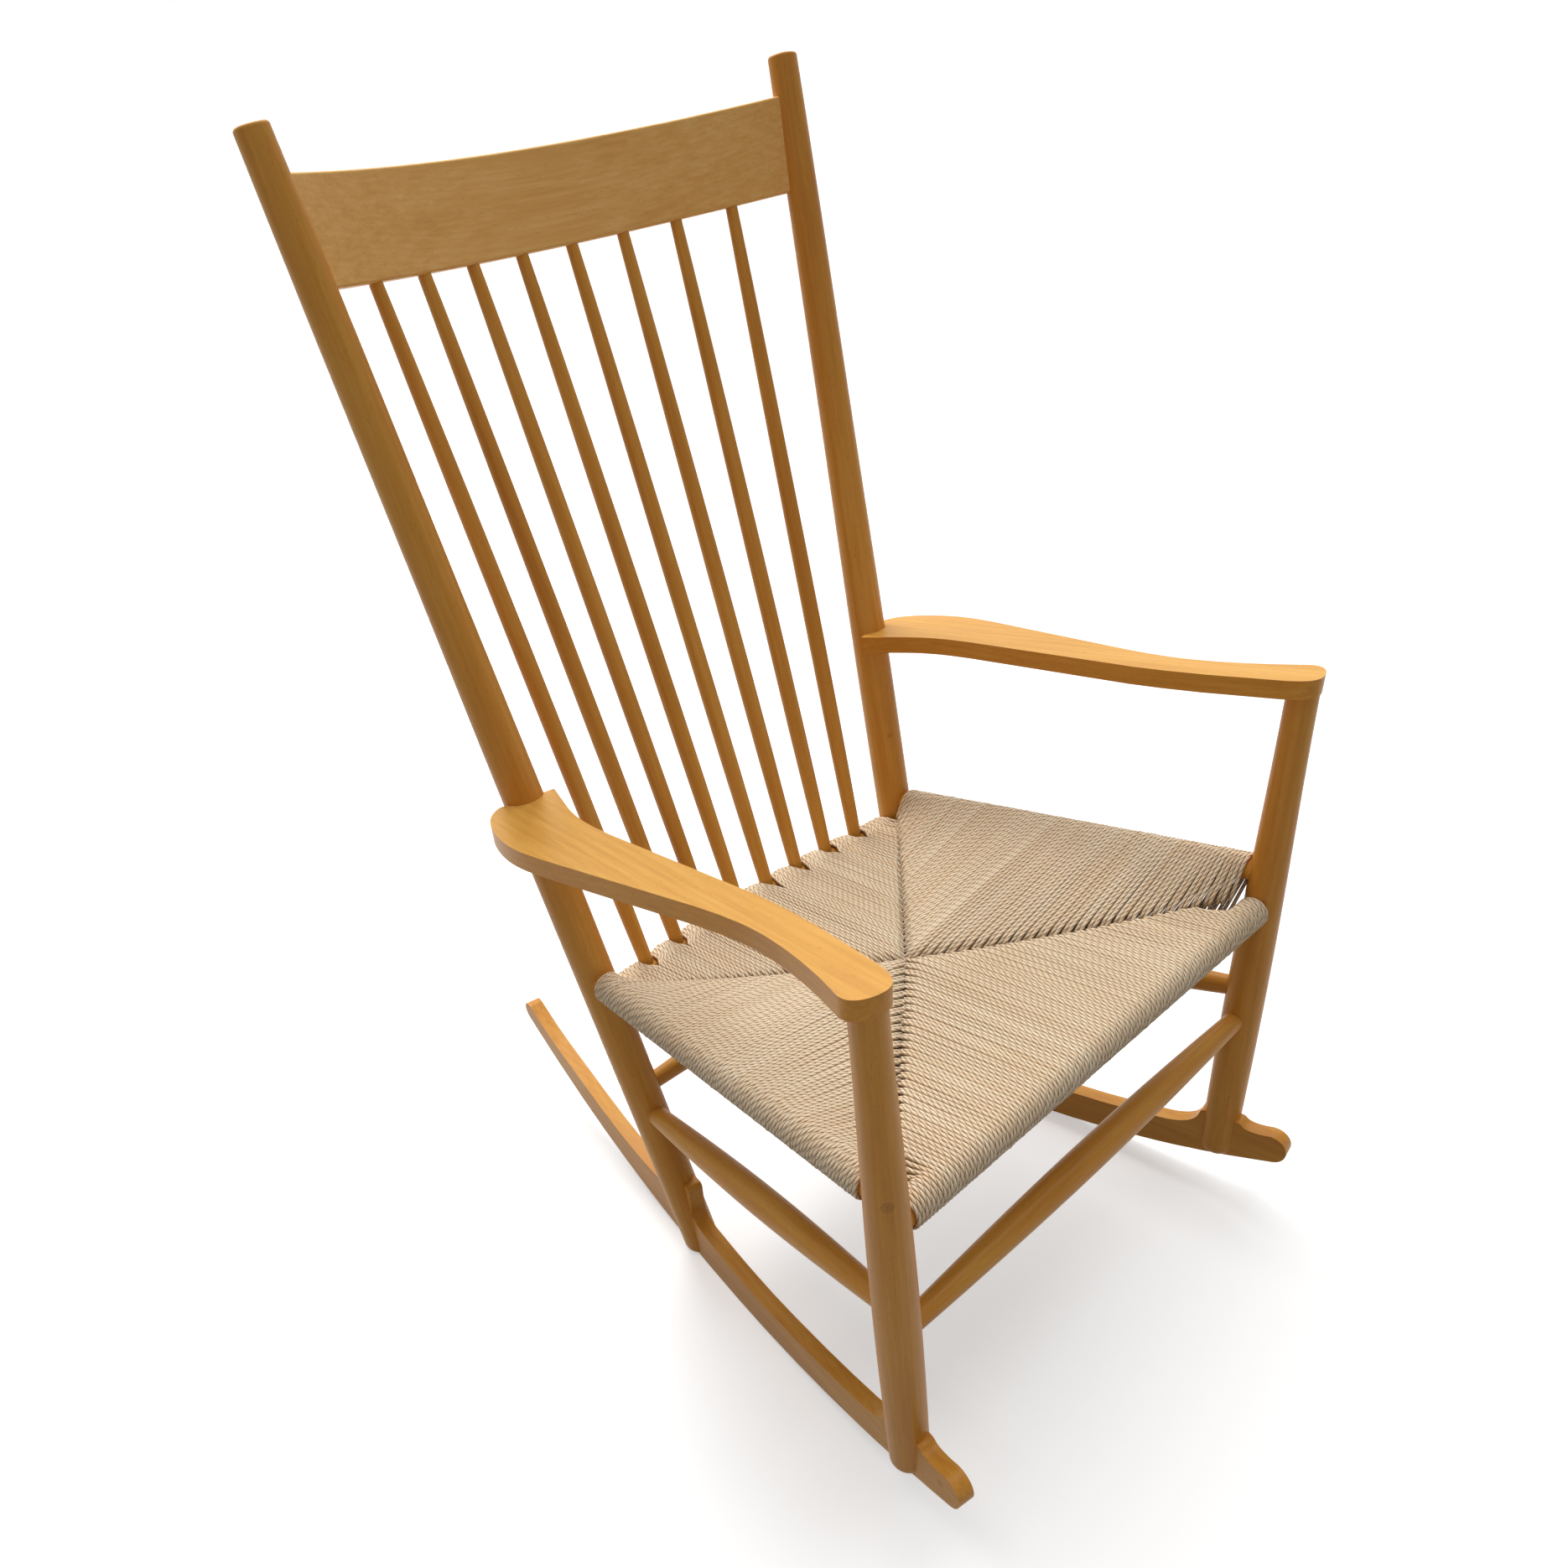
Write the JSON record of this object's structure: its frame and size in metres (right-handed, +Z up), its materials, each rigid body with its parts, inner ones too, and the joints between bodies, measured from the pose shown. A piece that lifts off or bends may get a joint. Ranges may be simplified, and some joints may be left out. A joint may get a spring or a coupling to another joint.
{
  "type": "rocking chair",
  "caption": "Spindle-back wooden rocking chair with flat arms, turned legs and stretchers, bent crest rail and a woven cord seat.",
  "frame": {"origin": "on the floor, in the chair's middle plane, halfway between the rockers' two tips", "axes": "+Z up, +X to the sitter's left, the chair faces -Y"},
  "size_m": [0.632, 0.8188, 1.0909],
  "materials": {
    "beech": "clear lacquer, satin",
    "cord": "twisted paper cord, matte",
    "tack_steel": "bright"
  },
  "bodies": {
    "root": {"arm_left": "beech", "arm_right": "beech", "arm_dowel_left": "beech", "arm_dowel_right": "beech", "back_spindle_1": "beech", "back_spindle_2": "beech", "back_spindle_3": "beech", "back_spindle_4": "beech", "back_spindle_5": "beech", "back_spindle_6": "beech", "back_spindle_7": "beech", "back_spindle_8": "beech", "crest_rail": "beech", "front_leg_left": "beech", "front_leg_right": "beech", "rear_post_left": "beech", "rear_post_right": "beech", "rocker_left": "beech", "rocker_right": "beech", "seat_rail_front": "beech", "seat_rail_rear": "beech", "seat_rail_left": "beech", "seat_rail_right": "beech", "stretcher_front": "beech", "stretcher_rear": "beech", "stretcher_left": "beech", "stretcher_right": "beech", "seat_cord_front": "cord", "seat_cord_rear": "cord", "seat_cord_left": "cord", "seat_cord_right": "cord", "cord_tacks": "tack_steel"}
  },
  "joints": []
}
